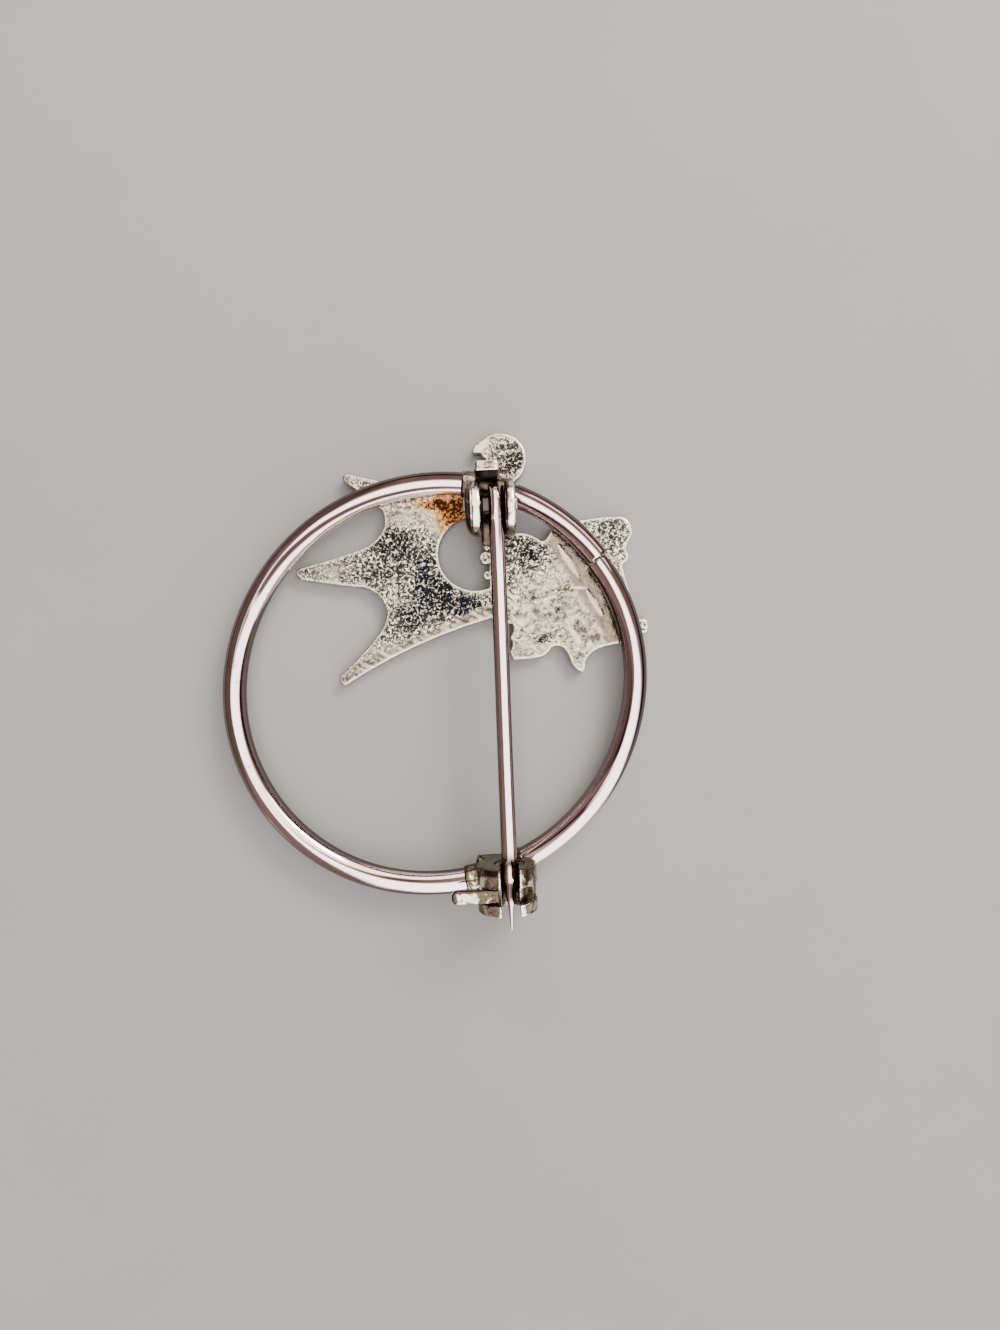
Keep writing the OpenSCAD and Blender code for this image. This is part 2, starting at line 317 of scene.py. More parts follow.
def painted_shade_at(place, across, above):
    """How dark the painted reflection and shade are at a place, for a surface direction given by its outward
    and upward parts.
    """
    turned = Matrix.Rotation(math.radians(RING_TURN), 3, "Z") @ place
    angle = math.degrees(math.atan2(turned[1], turned[0]))
    angle = angle - 360 if angle > PAINTED_REFLECTION_END else angle
    inner, outer, line, half, strength = (float(np.interp(angle, PAINTED_REFLECTION[:, 0], PAINTED_REFLECTION[:, k]))
                                          for k in range(1, 6))
    tilt = math.atan2(across, above) + PAINTED_REFLECTION_LEAN
    # 0 in the middle, 1 at the wire's outer side, -1 at its inner side and up to 2 or -2 underneath
    reach = math.sin(tilt) if abs(tilt) < math.pi / 2 else math.copysign(2 - abs(math.sin(tilt)), tilt)
    sides = max(ease(-reach, -inner, 0.12 - inner), ease(reach, outer, outer + 0.16))
    # The painted shade is weaker on sides that face left, low on the wire and underneath
    leftward = ease(-reach * math.cos(math.radians(angle)), 0.14, 0.3)
    low = ease(abs(2 * tilt - PAINTED_REFLECTION_LEAN), 1.4, 1.65)
    amount = FULL_SHADE + leftward * (LEFT_SHADE - FULL_SHADE)
    amount += low * (LOW_SHADE + 0.15 * ease(abs(reach), 0.75, 1.0) - amount)
    amount *= 1 - 0.65 * ease(abs(reach), 1.03, 1.2)
    dark_line = strength * (1 - ease(abs(reach - line), half * 0.8, half * 1.5))
    return max(amount * sides, dark_line)


def wire_tube(rows, length, radius, count=48, shoulder=0.12, uneven=0.0, with_painted_shade=False):
    """A round tube along the line, its two ends rounded over."""
    rings, grains, painted_shades = [], [], []
    up = Vector((0, 0, 1))
    # The rounding of an end: share of the shoulder's length, share of the radius
    ends = [(0.0, 0.55), (0.0, 0.8), (0.25, 0.93), (0.6, 0.985)]
    stations = ([(0, f * shoulder, k) for f, k in ends] + [(i, 0.0, 1.0) for i in range(1, len(rows) - 1)]
                + [(len(rows) - 1, -f * shoulder, k) for f, k in reversed(ends)])
    for i, push, k in stations:
        p, out = rows[i]
        forward = Vector((-out[1], out[0], 0.0))
        centre = p + forward * push
        s = length[i]
        ring, grain, painted_shade = [], [], []
        for j in range(count):
            a = math.tau * j / count
            direction = out * math.cos(a) + up * math.sin(a)
            r = radius * k
            if uneven:
                r += uneven * (noise.noise(Vector((s * 0.22, math.cos(a) * 0.6, math.sin(a) * 0.6)))
                               + 0.4 * noise.noise(Vector((s * 0.9, math.cos(a) * 1.5, math.sin(a) * 1.5))))
            ring.append(centre + direction * r)
            grain.append(Vector((math.cos(a), math.sin(a), s * 0.1)))
            # Painted reflection and shade on the ring's wire
            painted_shade.append(painted_shade_at(p, math.cos(a), math.sin(a)) if with_painted_shade else 0.0)
        rings.append(ring)
        grains.append(grain)
        painted_shades.append(painted_shade)
    return sweep(rings, grains, painted_shades)


# The figure plate

# Its outlines, as in the part's source: x, y, and how far the edge to the next point bows out
BLADE = [
    (4.6, 17.7, 0), (-4.2, 18.45, 0), (-8.3, 19.35, 0.2), (-8.5, 18.6, 0), (-6.9, 17.5, 0),
    (-4.95, 15.9, -0.1), (-4.8, 14.4, -0.25), (-6.6, 12.5, -0.1), (-12.75, 10.6, 0.3),
    (-12.5, 9.55, 0), (-8.4, 9.0, 0), (-6.7, 8.85, -0.45), (-4.5, 6.6, -0.2), (-5.5, 4.3, -0.1),
    (-8.85, 0.7, 0.3), (-8.3, -0.15, -0.55), (5.0, 6.0, 0), (6.8, 8.0, 0), (6.8, 17.0, 0),
]
BODY = [
    (5.0, 6.0, 0.1), (7.0, 5.5, -0.1), (7.0, 4.6, 0), (6.7, 4.2, 0), (7.0, 3.9, -0.1),
    (6.8, 3.1, 0.1), (7.1, 2.2, 0.05), (9.6, 2.45, 0.15), (10.6, 3.3, -0.2), (11.7, 3.3, -0.1),
    (12.4, 2.0, 0.22), (13.65, 1.05, 0.05), (13.75, 2.0, -0.15), (14.9, 3.2, -0.1),
    (17.2, 3.7, 0), (18.6, 4.6, 0), (19.4, 4.7, 0.17), (19.35, 5.95, 0), (18.1, 5.95, 0),
    (17.6, 7.7, 0), (17.9, 8.35, 0), (17.45, 9.8, 0), (17.2, 10.7, -0.1), (17.5, 11.25, 0.1),
    (17.75, 11.85, -0.15), (17.6, 12.75, -0.05), (18.05, 13.6, 0.12), (17.8, 14.9, 0.15),
    (16.7, 15.4, 0.05), (14.2, 15.2, 0), (12.9, 15.0, 0), (10.6, 14.6, -0.1),
    (10.2, 13.45, -0.2), (9.5, 13.3, 0.1), (8.0, 13.9, 0.05), (6.9, 13.8, 0), (4.9, 13.8, 0),
]
NECK = [(4.5, 13.5, 0), (7.0, 13.5, 0), (7.0, 18.0, 0), (7.6, 19.4, 0), (4.5, 20.0, 0)]
LIP = [(5.0, 22.85, 0), (3.7, 22.1, 0.05), (3.35, 21.5, 0.05), (3.4, 21.0, 0), (5.0, 21.0, 0)]
BITE = [(2.9, 21.25, 0), (4.1, 21.2, 0.1), (4.55, 20.7, 0), (4.55, 17.6, 0), (2.9, 17.6, 0)]
# Circles: x, y, radius. The body's straight edge closes the hole's right side, with bumps that stand out
DISC = (5.9, 20.67, 2.4)
HOLE = (3.6, 11.97, 3.37)
HOLE_SIDE = 4.9
BUMPS = [(4.65, 12.54, 0.3), (4.6, 11.6, 0.6), (4.75, 10.0, 0.42)]
# Both ends of each ridge beside the ring and of each crease that is painted bright
RIDGES = [((11.3, 12.7), (13.1, 9.95)), ((13.95, 8.55), (15.3, 6.35))]
RIDGE_HEIGHT = 0.06
CREASES = [((6.3, 8.25), (7.7, 7.9)), ((9.9, 7.7), (11.05, 8.1)), ((12.5, 8.85), (13.8, 8.8)),
           ((11.0, 5.1), (11.1, 5.15)), ((7.2, 5.9), (8.0, 5.4)), ((6.7, 7.6), (7.5, 6.9))]
# Bands of slanted strokes: both ends, half width, slant and strength
HATCHED = [((-8.8, 0.1), (4.9, 6.2), 1.2, 0.75, 1.0), ((7.1, 2.5), (10.4, 3.1), 0.8, 0.9, 0.4)]
STROKE_STEP = 0.74
STROKE_DEPTH = 0.02
# The shallow channel beside the ring: from and to, as distances from the ring's arc's centre and as angles
CHANNEL_R = (15.1, 18.4)
CHANNEL_DEG = (12.5, 49.5)
CHANNEL_DEPTH = 0.12
# The fold that separates the disc's small lip, and the lip's edge, painted bright as worn metal and
# highlight
LIP_FOLD = ((3.75, 21.95), (5.0, 21.35))
LIP_EDGE = ((3.6, 21.5), (4.6, 22.2))
# Both ends of the olive band beside the ring
OLIVE_BAND = ((11.9, 13.2), (17.1, 4.6))

# Dents and folds of the back: x, y, both radii, turn, depth
DENTS = [
    (9.55, 4.05, 1.1, 0.55, 30, 0.07), (8.7, 8.1, 1.8, 1.0, 10, 0.05), (12.0, 8.75, 1.9, 0.22, 5, 0.06),
    (11.6, 5.0, 1.4, 0.8, 40, -0.05), (8.6, 5.6, 1.3, 1.0, 0, -0.05), (14.6, 5.2, 1.0, 0.8, 0, -0.03),
]
# Spots of the back: x, y, both radii, turn, amount
RUST_SPOTS = [(1.9, 16.1, 1.6, 1.15, 0, 1.0), (-0.2, 16.5, 1.6, 0.5, 0, 0.75), (1.4, 14.6, 1.3, 0.9, 0, 0.5)]
# Painted dark reflection: where the polished back is painted dark as if it reflected dark surroundings
DARK_REFLECTION_SPOTS = [
    (2.6, 7.1, 2.6, 1.4, -15, 0.95), (0.2, 8.2, 3.0, 2.4, -30, 0.95), (-3.9, 12.6, 2.4, 2.0, 0, 0.8),
    (-1.0, 10.4, 1.7, 2.8, 0, 0.75), (-4.6, 10.4, 3.4, 1.5, 10, 0.6), (8.3, 12.0, 2.0, 1.9, 0, 0.72),
    (6.9, 20.4, 1.6, 2.2, 0, 0.7), (9.8, 4.2, 1.1, 0.55, 25, 0.6), (11.9, 8.75, 1.7, 0.35, 5, 0.6),
    (9.5, 8.0, 1.3, 0.4, 5, 0.5), (15.9, 13.8, 1.6, 1.5, 0, 0.45), (11.3, 6.8, 2.3, 0.28, 34, 0.6),
    (-2.2, 6.2, 1.8, 1.9, 0, 0.75), (-10.6, 15.9, 1.6, 0.7, -20, 0.6), (13.3, 5.6, 1.2, 0.35, 25, 0.45),
    (6.9, 9.6, 0.8, 1.0, 0, 0.45),
]
CALM_SPOTS = [
    (-6.4, 1.6, 3.4, 1.6, 30, 0.9), (-9.6, 10.2, 2.4, 1.3, 0, 0.7), (-3.4, 15.6, 3.2, 0.9, 0, 0.75),
    (2.2, 5.4, 3.4, 0.7, 20, 0.6), (9.6, 6.2, 2.8, 2.0, 0, 1.0), (8.3, 3.2, 1.6, 0.9, 0, 0.8),
    (14.4, 4.8, 3.4, 2.1, 15, 1.0), (12.6, 7.4, 3.2, 2.0, 20, 0.9), (12.8, 2.4, 1.3, 1.4, 0, 0.8),
    (12.0, 10.6, 1.8, 1.6, 0, 0.75), (10.4, 8.8, 3.4, 1.3, 0, 0.7), (0.2, 14.6, 2.2, 1.6, 0, 0.5),
    (4.3, 21.6, 0.8, 0.8, 0, 0.45),
]


def bowed(rows, steps=6):
    """An outline's points, with its bowed edges as curves."""
    points = []
    for k, (x, y, bow) in enumerate(rows):
        nx, ny = rows[(k + 1) % len(rows)][:2]
        dx, dy = nx - x, ny - y
        size = math.hypot(dx, dy)
        count = steps if bow else 1
        for i in range(count):
            t = i / count
            lift = 4 * bow * t * (1 - t) / size
            points.append((x + dx * t + dy * lift, y + dy * t - dx * lift))
    return np.array(points)


def inside_by(points, polygon):
    """How far each point lies inside the polygon, negative outside."""
    x, y = points[:, 0], points[:, 1]
    nearest = np.full(len(points), np.inf)
    odd = np.zeros(len(points), bool)
    for (ax, ay), (bx, by) in zip(polygon, np.roll(polygon, -1, axis=0)):
        dx, dy = bx - ax, by - ay
        t = np.clip(((x - ax) * dx + (y - ay) * dy) / (dx * dx + dy * dy), 0, 1)
        nearest = np.minimum(nearest, (x - ax - t * dx) ** 2 + (y - ay - t * dy) ** 2)
        if ay != by:
            crosses = ((ay > y) != (by > y)) & (x < dx * (y - ay) / dy + ax)
            odd ^= crosses
    return np.sqrt(nearest) * np.where(odd, 1, -1)


def in_circle(points, x, y, r):
    return r - np.hypot(points[:, 0] - x, points[:, 1] - y)


SHAPES = [bowed(rows) for rows in (BLADE, BODY, NECK, LIP)]
BITE_SHAPE = bowed(BITE)


def plate_depth(points):
    """How far each point lies inside the plate's outline."""
    solid = np.maximum.reduce([inside_by(points, s) for s in SHAPES] + [in_circle(points, *DISC)])
    hole = np.minimum(in_circle(points, *HOLE), HOLE_SIDE - points[:, 0])
    for b in BUMPS:
        hole = np.minimum(hole, -in_circle(points, *b))
    return np.minimum.reduce([solid, -hole, -inside_by(points, BITE_SHAPE)])


def segment_distance(points, a, b):
    """Distance to a segment, and how far along it the nearest point is."""
    a, b = np.array(a, float), np.array(b, float)
    d = b - a
    t = np.clip(((points - a) @ d) / (d @ d), 0, 1)
    return np.linalg.norm(points - a - t[:, None] * d, axis=1), t * np.linalg.norm(d)


def noise_at(points, scale, seed):
    return np.array([noise.noise(Vector((x * scale, y * scale, seed))) for x, y in points])


def hatching(points):
    """Slanted strokes on the long prong and the lobe, from -1 to 1, and the bands that they lie in."""
    waves, bands = np.zeros(len(points)), np.zeros(len(points))
    uneven = 0.55 + 0.45 * smooth(noise_at(points, 0.9, 33.0), -0.3, 0.1)
    bend = 0.4 * noise_at(points, 0.7, 14.0)
    for a, b, width, slant, deep in HATCHED:
        d, along = segment_distance(points, a, b)
        band = (1 - smooth(d, width * 0.7, width)) * smooth(along, 0.4, 1.8)
        waves += deep * band * uneven * np.sin(math.tau * (along + slant * d + bend) / STROKE_STEP)
        bands = np.maximum(bands, band)
    return waves, bands


def ridge_distance(points, a, b):
    """Distance from a ridge that is widest in its middle and narrow at both ends."""
    d, along = segment_distance(points, a, b)
    place = np.clip(along / math.dist(a, b), 0, 1)
    return d / (0.45 + 0.6 * np.sin(math.pi * place)) + 0.08 * noise_at(points, 1.6, 51.0)


def spread(x, y, dx, dy, rx, ry, tilt):
    """Squared distance from a spot's middle, in its own radii."""
    c, s = math.cos(math.radians(tilt)), math.sin(math.radians(tilt))
    u, v = (x - dx) * c + (y - dy) * s, -(x - dx) * s + (y - dy) * c
    return (u / rx) ** 2 + (v / ry) ** 2


def channel_at(x, y):
    """Where the shallow channel beside the ring is, from 0 to 1."""
    turn = math.radians(RING_TURN)
    cx = OFF * math.cos(turn) + OFF * math.sin(turn)
    cy = OFF * math.sin(turn) - OFF * math.cos(turn)
    reach = np.hypot(x - cx, y - cy)
    angle = np.degrees(np.arctan2(y - cy, x - cx))
    from_r, to_r = CHANNEL_R
    from_deg, to_deg = CHANNEL_DEG
    channel = (smooth(reach, from_r - 0.4, from_r + 0.4) * smooth(angle, from_deg - 1.5, from_deg + 1.5)
               * (1 - smooth(angle, to_deg - 1.5, to_deg + 1.5)))
    return channel * (1 - smooth(reach, to_r - 0.2, to_r + 0.2))


def plate_relief(points):
    """The back's height above flat: channel, ridges, strokes, fold, dents and unevenness."""
    x, y = points[:, 0], points[:, 1]
    h = -CHANNEL_DEPTH * channel_at(x, y)
    for a, b in RIDGES:
        h += RIDGE_HEIGHT * (1 - smooth(ridge_distance(points, a, b), 0.1, 0.45))
    h += STROKE_DEPTH * hatching(points)[0]
    fold, _ = segment_distance(points, *LIP_FOLD)
    h -= 0.07 * (1 - smooth(fold, 0.03, 0.2))
    for *spot, deep in DENTS:
        h -= deep * np.exp(-spread(x, y, *spot))
    for height, scale, seed in ((0.03, 0.35, 4.0), (0.018, 1.1, 9.0), (0.012, 3.6, 1.0)):
        h += height * noise_at(points, scale, seed)
    return h


def inward(points, reach=0.02):
    """The direction that leads away from the nearest edge at each point."""
    g = np.stack([plate_depth(points + [reach, 0]) - plate_depth(points - [reach, 0]),
                  plate_depth(points + [0, reach]) - plate_depth(points - [0, reach])], axis=1)
    return g / np.maximum(np.linalg.norm(g, axis=1), 1e-9)[:, None]


def plate_net(step, rim):
    """A net of square cells over the plate, cut off along a line that lies rim inside its outline."""
    low, high = np.array([-13.2, -0.6]), np.array([20.0, 23.4])
    nx, ny = (np.ceil((high - low) / step)).astype(int) + 1
    gx, gy = np.meshgrid(low[0] + step * np.arange(nx), low[1] + step * np.arange(ny), indexing="ij")
    points = np.stack([gx.ravel(), gy.ravel()], axis=1)
    depth = plate_depth(points) - rim
    # Net points close to the line move on to it, so that no cell is cut into a sliver
    near = np.abs(depth) < 0.32 * step
    points[near] -= inward(points[near]) * depth[near][:, None]
    depth[near] = 0.0
    index = np.arange(nx * ny).reshape(nx, ny)
    crossings, cuts = [], {}

    def cut(a, b):
        """The point where the line crosses the edge from a to b."""
        key = (min(a, b), max(a, b))
        if key not in cuts:
            cuts[key] = nx * ny + len(crossings)
            crossings.append(points[a] + (points[b] - points[a]) * depth[a] / (depth[a] - depth[b]))
        return cuts[key]

    faces = []
    inside = depth.reshape(nx, ny) > 0
    live = inside[:-1, :-1] | inside[1:, :-1] | inside[:-1, 1:] | inside[1:, 1:]
    for i, j in zip(*np.nonzero(live)):
        corners = [index[i, j], index[i + 1, j], index[i + 1, j + 1], index[i, j + 1]]
        face = []
        for a, b in zip(corners, corners[1:] + corners[:1]):
            if depth[a] >= 0:
                face.append(a)
            if depth[a] * depth[b] < 0:
                face.append(cut(a, b))
        if len(face) > 2:
            faces.append(face)
    used = sorted({v for face in faces for v in face})
    renumber = {v: k for k, v in enumerate(used)}
    return np.vstack([points, crossings])[used], [[renumber[v] for v in face] for face in faces]


def plate_mesh(step=0.1, rim=0.13, corner=4):
    """The cut-out plate: the net on its back and on its front, joined round a rounded edge."""
    flat, faces = plate_net(step, rim)
    # The border's directed edges are those that only one face has
    directed = dict.fromkeys(e for face in faces for e in zip(face, face[1:] + face[:1]))
    edges = [e for e in directed if e[::-1] not in directed]
    border = sorted({v for e in edges for v in e})
    place = {v: k for k, v in enumerate(border)}
    line, out = flat[border], -inward(flat[border])
    relief = plate_relief(flat)
    rows = [np.column_stack([flat, PLATE_T + relief])]
    quarter = [math.pi / 2 * k / corner for k in range(corner + 1)]
    for a in quarter[1:]:
        rows.append(np.column_stack([line + out * rim * math.sin(a),
                                     PLATE_T + relief[border] - rim * (1 - math.cos(a))]))
    for a in quarter[:-1]:
        rows.append(np.column_stack([line + out * rim * math.cos(a),
                                     np.full(len(border), rim * (1 - math.sin(a)))]))
    rows.append(np.column_stack([flat, np.zeros(len(flat))]))
    starts = np.cumsum([0] + [len(r) for r in rows])
    front = starts[-2]
    loops = ([np.array(border)] + [np.arange(len(border)) + s for s in starts[1:-2]]
             + [np.array(border) + front])
    quads = [[upper[place[b]], upper[place[a]], lower[place[a]], lower[place[b]]]
             for upper, lower in zip(loops, loops[1:]) for a, b in edges]
    under = [[v + front for v in reversed(face)] for face in faces]
    return np.vstack(rows), faces + quads + under


def strongest(x, y, spots):
    """The strongest of several soft spots at each point."""
    value = np.zeros(len(x))
    for *spot, amount in spots:
        value = np.maximum(value, amount * np.exp(-spread(x, y, *spot) ** 1.5))
    return value


def wear_and_highlight_at(p, top):
    """Worn bright metal and painted highlight along the outline, the lip, the ridges and the creases."""
    wear_and_highlight = (1 - smooth(plate_depth(p), 0.08, 0.3)) * top
    lip, _ = segment_distance(p, *LIP_EDGE)
    wear_and_highlight = np.maximum(wear_and_highlight, 0.8 * (1 - smooth(lip, 0.2, 0.5)))
    for a, b in RIDGES:
        wear_and_highlight = np.maximum(wear_and_highlight, 0.65 * (1 - smooth(ridge_distance(p, a, b), 0.1, 0.4)) * top)
    for a, b in CREASES:
        d, _ = segment_distance(p, a, b)
        wear_and_highlight = np.maximum(wear_and_highlight, 0.8 * (1 - smooth(d, 0.05, 0.17)) * top)
    return wear_and_highlight


def plate_masks(co):
    """Where the plate is rusty, painted dark as a reflection, worn bright and painted with highlights,
    creamy, olive, and dark in fine lines with painted shadow.
    """
    p, x, y = co[:, :2], co[:, 0], co[:, 1]
    top = smooth(co[:, 2], 0.5, 0.85)
    patchy = 0.5 + 0.5 * noise_at(p, 1.4, 21.0)
    wear_and_highlight = wear_and_highlight_at(p, top)
    strokes, bands = hatching(p)
    rust = sum(amount * np.exp(-spread(x, y, *spot)) for *spot, amount in RUST_SPOTS)
    rust = np.clip(rust * (0.55 + 0.75 * patchy), 0, 1) * top
    # The whole of the prongs is painted a little darker than the body, as more painted dark reflection
    prongs = 0.35 * (1 - smooth(x + 0.3 * y, 3.0, 7.5)) * (1 - 0.6 * smooth(y, 12.5, 14.5))
    dark = np.maximum(strongest(x, y, DARK_REFLECTION_SPOTS), prongs)
    dark = np.clip(dark * (0.65 + 0.6 * patchy), 0, 1) * top * (1 - 0.8 * bands)
    calm = np.maximum(strongest(x, y, CALM_SPOTS), 0.9 * bands)
    # Dark lines lie between the strokes, and a painted shadow lies beside the ridges on their shaded side
    lines = np.clip(-1.3 * strokes, 0, 1)
    for a, b in RIDGES:
        lines = np.maximum(lines, 0.6 * (1 - smooth(ridge_distance(p - [0.34, 0.2], a, b), 0.1, 0.3)))
    start, end = np.array(OLIVE_BAND)
    away, _ = segment_distance(p, start, end)
    side = (p - start) @ np.array([start[1] - end[1], end[0] - start[0]]) / math.dist(start, end)
    olive = (1 - smooth(np.abs(side + 0.55), 0.75, 1.1)) * (1 - smooth(away, 1.5, 1.9)) * (1 - wear_and_highlight) * top
    return {"rust": rust, "dark": dark, "wear_and_highlight": wear_and_highlight, "calm": calm * (1 - dark), "olive": olive,
            "lines": lines * top * (1 - wear_and_highlight)}


# Materials

class Nodes:
    """Short calls for building a node tree."""

    def __init__(self, owner, space="Object"):
        owner.use_nodes = True
        self.owner = owner
        self.tree = owner.node_tree
        self.coords = self.tree.nodes.new("ShaderNodeTexCoord").outputs[space]

    def put(self, value, socket):
        """Another node's output is joined to the socket, and a plain value is set in it."""
        if hasattr(value, "is_output"):
            self.tree.links.new(value, socket)
        else:
            socket.default_value = value

    def add(self, kind, inputs=(), **settings):
        node = self.tree.nodes.new("ShaderNode" + kind)
        for key, value in settings.items():
            setattr(node, key, value)
        for key, value in dict(inputs).items():
            self.put(value, node.inputs[key])
        return node

    def attribute(self, name):
        return self.add("Attribute", attribute_name=name)

    def noise(self, scale, vector=None, detail=3.0, rough=0.6, distortion=0.0):
        return self.add("TexNoise", {"Vector": vector or self.coords, "Scale": scale, "Detail": detail,
                                     "Roughness": rough, "Distortion": distortion}).outputs["Fac"]

    def level(self, value, low, high, to_low=0.0, to_high=1.0, soft=False):
        return self.add("MapRange", {"Value": value, "From Min": low, "From Max": high, "To Min": to_low,
                                     "To Max": to_high},
                        interpolation_type="SMOOTHSTEP" if soft else "LINEAR").outputs["Result"]

    def mix(self, factor, a, b):
        a, b = ((*colour, 1) if isinstance(colour, tuple) else colour for colour in (a, b))
        return self.add("Mix", {0: factor, 6: a, 7: b}, data_type="RGBA").outputs[2]

    def math(self, operation, a, b=0.0, clamp=False):
        return self.add("Math", {0: a, 1: b}, operation=operation, use_clamp=clamp).outputs[0]

    def bump(self, height, distance, strength=1.0, normal=None):
        inputs = {"Height": height, "Distance": distance, "Strength": strength}
        if normal:
            inputs["Normal"] = normal
        return self.add("Bump", inputs).outputs["Normal"]

    def finish(self, colour, rough, normal=None, metallic=1.0):
        shader = self.tree.nodes["Principled BSDF"]
        for key, value in (("Base Color", colour), ("Roughness", rough), ("Normal", normal),
                           ("Metallic", metallic)):
            if value is not None:
                self.put(value, shader.inputs[key])
        return self.owner


# The colour of the wires' painted reflection and shade
WIRE_PAINTED_SHADE = (0.034, 0.018, 0.018)


def wire_metal(name, pale, deep, grime, seed):
    """Polished nickel wire: fine drawn lines along it, a few scratches, and brown painted reflection and
    shade.
    """
    n = Nodes(bpy.data.materials.new(name))
    grain = n.attribute("grain").outputs["Vector"]
    shifted = n.add("VectorMath", {0: grain, 1: (seed, 0.0, seed)}, operation="ADD").outputs[0]
    lines = n.noise(9.0, shifted, detail=4.0, rough=0.7)
    fine = n.noise(30.0, shifted, detail=2.0)
    cloud = n.noise(420.0, detail=5.0, rough=0.65)
    spots = n.noise(2600.0, detail=4.0, rough=0.75)
    base = n.mix(n.level(lines, 0.35, 0.68), pale, deep)
    stain_and_shade = n.math("MULTIPLY", n.level(cloud, 0.56, 0.74), n.level(spots, 0.45, 0.7))
    base = n.mix(n.math("MULTIPLY", stain_and_shade, 0.75), base, grime)
    # The painted reflection and shade darken the wire towards a brown-black colour
    painted_shade = n.math("MULTIPLY", n.attribute("painted_shade").outputs["Fac"], n.level(lines, 0.3, 0.7, 1.02, 0.985),
                  clamp=True)
    base = n.mix(painted_shade, base, WIRE_PAINTED_SHADE)
    rough = n.math("ADD", n.level(lines, 0.3, 0.75, 0.04, 0.09), n.math("MULTIPLY", stain_and_shade, 0.3))
    height = n.math("ADD", n.math("MULTIPLY", lines, 0.7), n.math("MULTIPLY", fine, 0.3))
    return n.finish(base, rough, n.bump(height, 0.00001, 0.3, n.bump(spots, 0.000002, 0.3)))


# The plate's ground between the flecks, its painted dark reflection, its flecks, and its creamy places,
# its dark lines of painted shade, its olive places, its worn and highlighted places and its rusty places
ETCHED = (0.034, 0.031, 0.024)
DARK_REFLECTION = (0.004, 0.0045, 0.0065)
FLECK = (0.90, 0.83, 0.67)
DULL_FLECK = (0.56, 0.52, 0.43)
CREAM_SHADE = (0.045, 0.041, 0.030)
CREAM = (0.52, 0.465, 0.355)
PAINTED_LINE_SHADE = (0.035, 0.030, 0.022)
OLIVE_DEEP = (0.06, 0.05, 0.032)
OLIVE_PALE = (0.22, 0.19, 0.13)
WEAR_AND_HIGHLIGHT = (0.66, 0.60, 0.47)
RUST_PALE = (0.52, 0.28, 0.055)
RUST_DEEP = (0.40, 0.12, 0.004)
RUST_GRAIN = (0.026, 0.007, 0.001)


def plate_metal(name):
    """Etched champagne-silver: bright flecks on a dark ground, painted dark reflection, creamy areas, rust,
    and bright edges that are worn metal and painted highlight.
    """
    n = Nodes(bpy.data.materials.new(name))
    grain = n.noise(4000.0, detail=2.2, rough=0.55, distortion=1.0)
    speck = n.noise(4600.0, detail=1.2)
    cloud = n.noise(420.0, detail=5.0, rough=0.6)
    drift = n.noise(1500.0, detail=4.0, rough=0.65, distortion=0.5)
    rust, dark, wear_and_highlight, calm, olive, lines = (
        n.attribute(mask).outputs["Fac"] for mask in ("rust", "dark", "wear_and_highlight", "calm", "olive", "lines"))
    # The more a place is painted dark as a reflection, the fewer flecks rise above the cut
    cut = n.math("ADD", n.level(dark, 0.0, 1.0, 0.54, 0.675), n.level(cloud, 0.3, 0.7, 0.03, -0.03))
    fleck = n.level(n.math("SUBTRACT", grain, cut), -0.1, 0.1)
    ground = n.mix(n.level(dark, 0.0, 0.7), ETCHED, DARK_REFLECTION)
    bright = n.mix(n.level(cloud, 0.35, 0.65), FLECK, DULL_FLECK)
    base = n.mix(fleck, ground, bright)
    cream = n.mix(n.level(drift, 0.40, 0.64), CREAM_SHADE, CREAM)
    creamy = n.math("ADD", calm, n.level(drift, 0.3, 0.7, -0.15, 0.15))
    base = n.mix(n.level(creamy, 0.15, 0.85, 0.0, 0.92), base, cream)
    base = n.mix(n.math("MULTIPLY", lines, 0.92), base, PAINTED_LINE_SHADE)
    base = n.mix(n.math("MULTIPLY", olive, 0.9), base, n.mix(drift, OLIVE_DEEP, OLIVE_PALE))
    base = n.mix(n.math("MULTIPLY", wear_and_highlight, 0.85), base, WEAR_AND_HIGHLIGHT)
    grains = n.level(n.math("ADD", speck, n.math("MULTIPLY", rust, 0.2)), 0.60, 0.66)
    tint = n.mix(n.level(rust, 0.2, 0.65), RUST_PALE, RUST_DEEP)
    tinted = n.math("MULTIPLY", n.level(rust, 0.05, 0.5), n.level(drift, 0.3, 0.6, 1.0, 0.7))
    base = n.mix(tinted, base, tint)
    base = n.mix(n.math("MULTIPLY", grains, n.level(rust, 0.15, 0.4)), base, RUST_GRAIN)
    rough = n.math("ADD", n.level(calm, 0.0, 1.0, 0.17, 0.3), n.math("MULTIPLY", rust, 0.5), clamp=True)
    height = n.math("MULTIPLY", n.math("ADD", grain, n.math("MULTIPLY", speck, 0.4)),
                    n.math("SUBTRACT", 1.0, n.math("MULTIPLY", calm, 0.75)))
    metallic = n.level(rust, 0.2, 0.6, 1.0, 0.85)
    return n.finish(base, rough, n.bump(height, 0.00004, 0.7), metallic)


